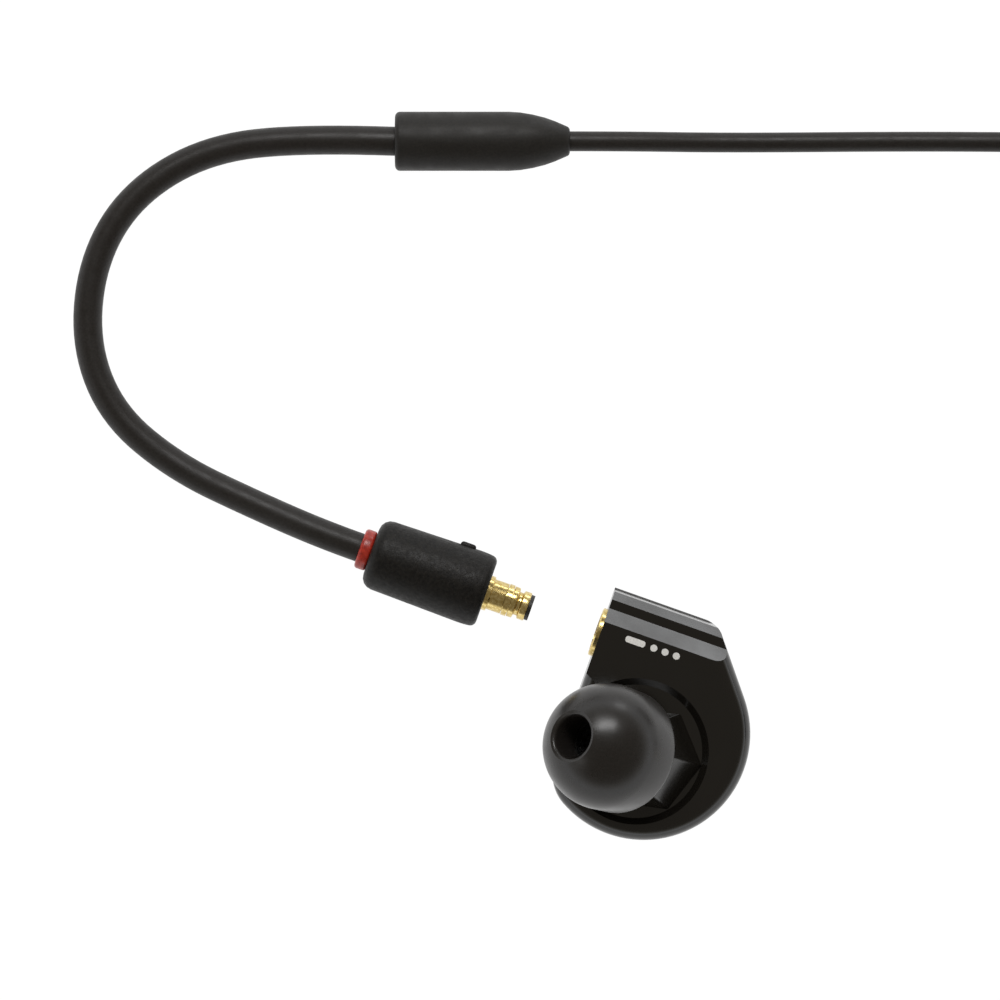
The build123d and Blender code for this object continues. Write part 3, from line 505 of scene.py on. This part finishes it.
def plug():
    """Barrel with its side mark, gold pin with its grooves, and the red side ring."""
    outline = [
        (RECESS_R, BARREL_FRONT, 0.1),
        (BARREL_R - 0.15, BARREL_FRONT, 0.5),
        (BARREL_R, BARREL_FRONT + 1.1, 0.6),
        (BARREL_R_BACK, BARREL_BACK, 1.1),
        (LOOP_D / 2, BARREL_BACK),
        (LOOP_D / 2, BARREL_BACK - CORE_INSET),
        (CORE_R, BARREL_BACK - CORE_INSET),
        (CORE_R, BARREL_FRONT + RECESS),
        (RECESS_R, BARREL_FRONT + RECESS),
    ]
    barrel = keep_shape("plug_barrel_shell", spun(outline), CONNECTOR, SPARK, "cable")
    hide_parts("plug_barrel")

    mark = bmesh.new()
    bmesh.ops.create_cube(mark, size=1)
    bmesh.ops.scale(mark, vec=(0.9, 1.1, 1.5), verts=mark.verts)
    rounded(mark, mark.edges[:], 0.28, 4, "EDGES")
    bmesh.ops.translate(mark, vec=(BARREL_R - 0.17, 0, BARREL_FRONT + 3.0), verts=mark.verts)
    keep_shape("raised_side_mark", mark, CONNECTOR, SPARK, "cable")

    outline = [
        (PIN_BORE, PIN_FRONT, 0.04),
        (PIN_NOSE_R, PIN_FRONT, 0.08),
        (PIN_NOSE_R, PIN_FRONT + 0.65, 0.06),
        (PIN_NECK_R, PIN_FRONT + 0.75, 0.04),
        (PIN_NECK_R, PIN_FRONT + 1.05, 0.04),
        (PIN_R, PIN_FRONT + 1.15, 0.06),
        (PIN_R, PIN_FRONT + 1.65, 0.04),
        (RING_GROOVE, PIN_FRONT + 1.65),
        (RING_GROOVE, PIN_FRONT + 2.25),
        (PIN_R, PIN_FRONT + 2.25, 0.04),
        (PIN_R, BARREL_FRONT - 0.45, 0.05),
        (PIN_FLANGE_R, BARREL_FRONT - 0.4, 0.05),
        (PIN_FLANGE_R, BARREL_FRONT + 1.7),
        (PIN_BORE, BARREL_FRONT + 1.7),
    ]
    contact = keep_shape("gold_pin_contact", spun(outline, 64), CONNECTOR, GOLD, "cable")
    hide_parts("plug_outer_contact")

    outline = [
        (SIDE_RING_HOLE, BARREL_BACK),
        (SIDE_RING_R, BARREL_BACK, 0.25),
        (SIDE_RING_R, BARREL_BACK + 1.1, 0.3),
        (SIDE_RING_HOLE, BARREL_BACK + 1.1),
    ]
    ring = keep_shape("red_side_ring", spun(outline), CONNECTOR, RED, "cable")
    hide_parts("side_ring")


plug()


# ---------------------------------------------------------------- pieces: sleeve and stereo plug
def sleeve():
    """Moulded sleeve between the ear loop and the thin cable."""
    radius, length = 2.74, 16.2
    outline = [
        (0, 0),
        (radius, 0, 0.45),
        (radius, length - 3.4, 2.2),
        (CABLE_D / 2 + 0.35, length, 0.25),
        (0, length),
    ]
    piece = keep_shape("moulded_cable_sleeve", spun(outline), SLEEVE_AXIS, OVERMOULD, "cable")
    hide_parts("cable_sleeve")
    return piece


def stereo_plug():
    """Grip with three finger grooves, and a strain relief with ring slots."""
    relief_r, relief_length, taper = 1.6, 8.0, 0.1       # the relief widens towards the grip
    grip_r, grip_end, nose_r, nose_end = 3.6, 23.0, 2.8, 24.0
    slots, slot_pitch, grooves, groove_pitch = 5, 1.25, 3, 1.6

    outline = [(0, 0), (relief_r, 0, 0.3)]
    for k in range(slots):
        low = 1.2 + slot_pitch * k
        radius = relief_r + taper * low
        outline += [(radius, low, 0.1), (radius - 0.35, low + 0.08), (radius - 0.33, low + 0.42),
                    (radius + 0.05, low + 0.5, 0.1)]
    outline += [(relief_r + taper * relief_length, relief_length), (0, relief_length)]
    relief = keep_shape("slotted_strain_relief", spun(outline), JACK_AXIS, OVERMOULD, "cable")
    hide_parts("jack_strain_relief")

    outline = [(0, relief_length), (grip_r, relief_length, 0.9)]
    for k in range(grooves):
        low = 11.0 + groove_pitch * k
        outline += [(grip_r, low, 0.12), (grip_r - 0.2, low + 0.2, 0.1),
                    (grip_r - 0.2, low + 0.6, 0.1), (grip_r, low + 0.8, 0.12)]
    outline += [(grip_r, grip_end, 0.4), (nose_r, grip_end, 0.05), (nose_r, nose_end, 0.15),
                (0, nose_end)]
    grip = keep_shape("stereo_plug_grip", spun(outline), JACK_AXIS, SPARK, "cable")
    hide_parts("jack_grip")
    return relief, grip


def tie():
    """Strap round the coil: a closed loop with rounded corners."""
    inner, outer, top, width = 9.2, 17.4, 8.9, 6.0
    near, far = inner - TIE_T, outer + TIE_T
    low, high = 0.001, top + TIE_T
    loop = [(near, low), (far, low), (far, high), (near, high)]
    strip = bmesh.new()
    corners = [strip.verts.new((r, -width / 2, z)) for r, z in loop]
    for one, two in zip(corners, corners[1:] + corners[:1]):
        strip.edges.new((one, two))
    for corner in corners:
        rounded(strip, [corner], 1.0, 6, "VERTICES")
    drawn = bmesh.ops.extrude_edge_only(strip, edges=strip.edges[:])
    side = [v for v in drawn["geom"] if isinstance(v, bmesh.types.BMVert)]
    bmesh.ops.translate(strip, vec=(0, width, 0), verts=side)
    bmesh.ops.recalc_face_normals(strip, faces=strip.faces)
    bmesh.ops.solidify(strip, geom=strip.faces[:], thickness=TIE_T - 0.1)
    bmesh.ops.recalc_face_normals(strip, faces=strip.faces)
    turn = Matrix.Rotation(math.radians(TIE_ANGLE), 4, "Z")
    place = Matrix.Translation(Vector((*COIL_CENTRE, 0)) * MM) @ turn @ Matrix.Scale(MM, 4)
    piece = keep_shape("woven_cable_tie", strip, place, STRAP, "cable")
    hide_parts("coil_tie")
    return piece


def printed_mark():
    """Generic pad-printed mark on the front face: a bar and three dots in a row."""
    off_centre, ink = 7.75, 0.02                 # place of the row, and thickness of its ink
    print_on = axis_frame(ACROSS * off_centre + Vector((0, 0, FRONT_FACE)), (0, 0, 1), POINT)
    for k, along in enumerate((0.4, -0.7, -1.8)):
        dot = bmesh.new()
        bmesh.ops.create_cone(dot, cap_ends=True, segments=32, radius1=0.33, radius2=0.32, depth=ink)
        bmesh.ops.translate(dot, vec=(along, 0, ink / 2), verts=dot.verts)
        keep_shape(f"printed_dot_{k + 1}", dot, print_on, INK, "earpiece")
    bar = bmesh.new()
    bmesh.ops.create_cube(bar, size=1)
    bmesh.ops.scale(bar, vec=(1.9, 0.6, ink), verts=bar.verts)
    upright = [e for e in bar.edges if abs(e.verts[0].co.z - e.verts[1].co.z) > ink / 2]
    rounded(bar, upright, 0.25, 6, "EDGES")
    bmesh.ops.translate(bar, vec=(-3.6, 0, ink / 2), verts=bar.verts)
    keep_shape("printed_bar", bar, print_on, INK, "earpiece")


sleeve_piece = sleeve()
relief_piece, grip_piece = stereo_plug()
tie_piece = tie()
printed_mark()


# ---------------------------------------------------------------- carried-over pieces
paint(ABS, "front_shell", "rear_cover")
paint(DARK_MOULDING, "nozzle_tube", "driver_frame", "socket_insulator", "plug_insulator", "plug_core",
      "jack_insulators")
paint(SCREEN, "nozzle_mesh", "vent_screen")
paint(FELT, "acoustic_damper", "driver_gasket", "driver_rear_damper")
paint(STEEL, "driver_yoke", "driver_top_plate", "driver_front_grille")
paint(MAGNET, "driver_magnet")
paint(COPPER, "voice_coil", "lead_wire_signal", "lead_wire_ground")
paint(FILM, "diaphragm")
paint(BOARD, "driver_terminal_board")
paint(GOLD, "socket_shell", "socket_centre_pin", "plug_centre_contact", "jack_sleeve_contact",
      "jack_ring_contact", "jack_tip_contact", "snap_ring")
paint(SPRING, "socket_clip")

for cord in (ear_loop, cable):
    cord.data.materials.append(JACKET)


# ---------------------------------------------------------------- stage
FLOOR_REACH = 3.0        # metres from the middle of the floor to its sides


def floor():
    """Plain white floor, bright enough to show no shadow."""
    material, surface = new_material("white_studio_floor", "#404040", 0.9)
    surface.inputs["Specular IOR Level"].default_value = 0.0
    surface.inputs["Emission Color"].default_value = (1, 1, 1, 1)
    surface.inputs["Emission Strength"].default_value = 1.0
    sheet = bmesh.new()
    bmesh.ops.create_grid(sheet, x_segments=1, y_segments=1, size=FLOOR_REACH)
    mesh = bpy.data.meshes.new("floor")
    sheet.to_mesh(mesh)
    sheet.free()
    mesh.materials.append(material)
    piece = bpy.data.objects.new("floor", mesh)
    bpy.context.collection.objects.link(piece)


def softbox(name, azimuth, elevation, distance, size, radiance):
    """Area light that faces the object, with its direction in degrees and its radiance in W/m2/sr."""
    light = bpy.data.lights.new(name, "AREA")
    light.shape = "RECTANGLE"
    light.size, light.size_y = size
    light.energy = radiance * math.pi * size[0] * size[1]
    lamp = bpy.data.objects.new(name, light)
    a, e = math.radians(azimuth), math.radians(elevation)
    towards = Vector((math.cos(a) * math.cos(e), math.sin(a) * math.cos(e), math.sin(e)))
    lamp.location = towards * distance
    lamp.rotation_euler = towards.to_track_quat("Z", "Y").to_euler()
    lamp.visible_camera = False
    bpy.context.collection.objects.link(lamp)


HORIZON, OVERHEAD = 1.7, 0.23        # radiance of the room at its walls and overhead
WALL_TOP = 0.42                      # sine of the elevation where the walls have faded out


def surroundings():
    """Studio room: bright, slightly cool walls low down, dim and slightly warm overhead."""
    world = bpy.data.worlds.new("studio")
    world.use_nodes = True
    bpy.context.scene.world = world
    sky = world.node_tree.nodes["Background"]
    place = add_node(world, "ShaderNodeTexCoord")
    height = add_node(world, "ShaderNodeSeparateXYZ", Vector=place.outputs["Generated"])
    glow = add_node(world, "ShaderNodeMapRange", {"interpolation_type": "SMOOTHSTEP"},
                    Value=height.outputs["Z"], From_Max=WALL_TOP, To_Min=HORIZON, To_Max=OVERHEAD)
    tint = add_node(world, "ShaderNodeValToRGB", Fac=height.outputs["Z"])
    tint.color_ramp.elements[0].color = linear("#f2f8ff")
    tint.color_ramp.elements[1].color = linear("#fff4e2")
    tint.color_ramp.elements[1].position = WALL_TOP
    world.node_tree.links.new(glow.outputs["Result"], sky.inputs["Strength"])
    world.node_tree.links.new(tint.outputs["Color"], sky.inputs["Color"])


floor()
surroundings()
softbox("key", 92, 48, 0.7, (0.4, 0.19), 11.0)
softbox("ridge_strip", 70.5, 4, 0.9, (0.22, 0.14), 4.0)
softbox("left_fill", 200, 35, 0.9, (0.4, 0.3), 1.2)
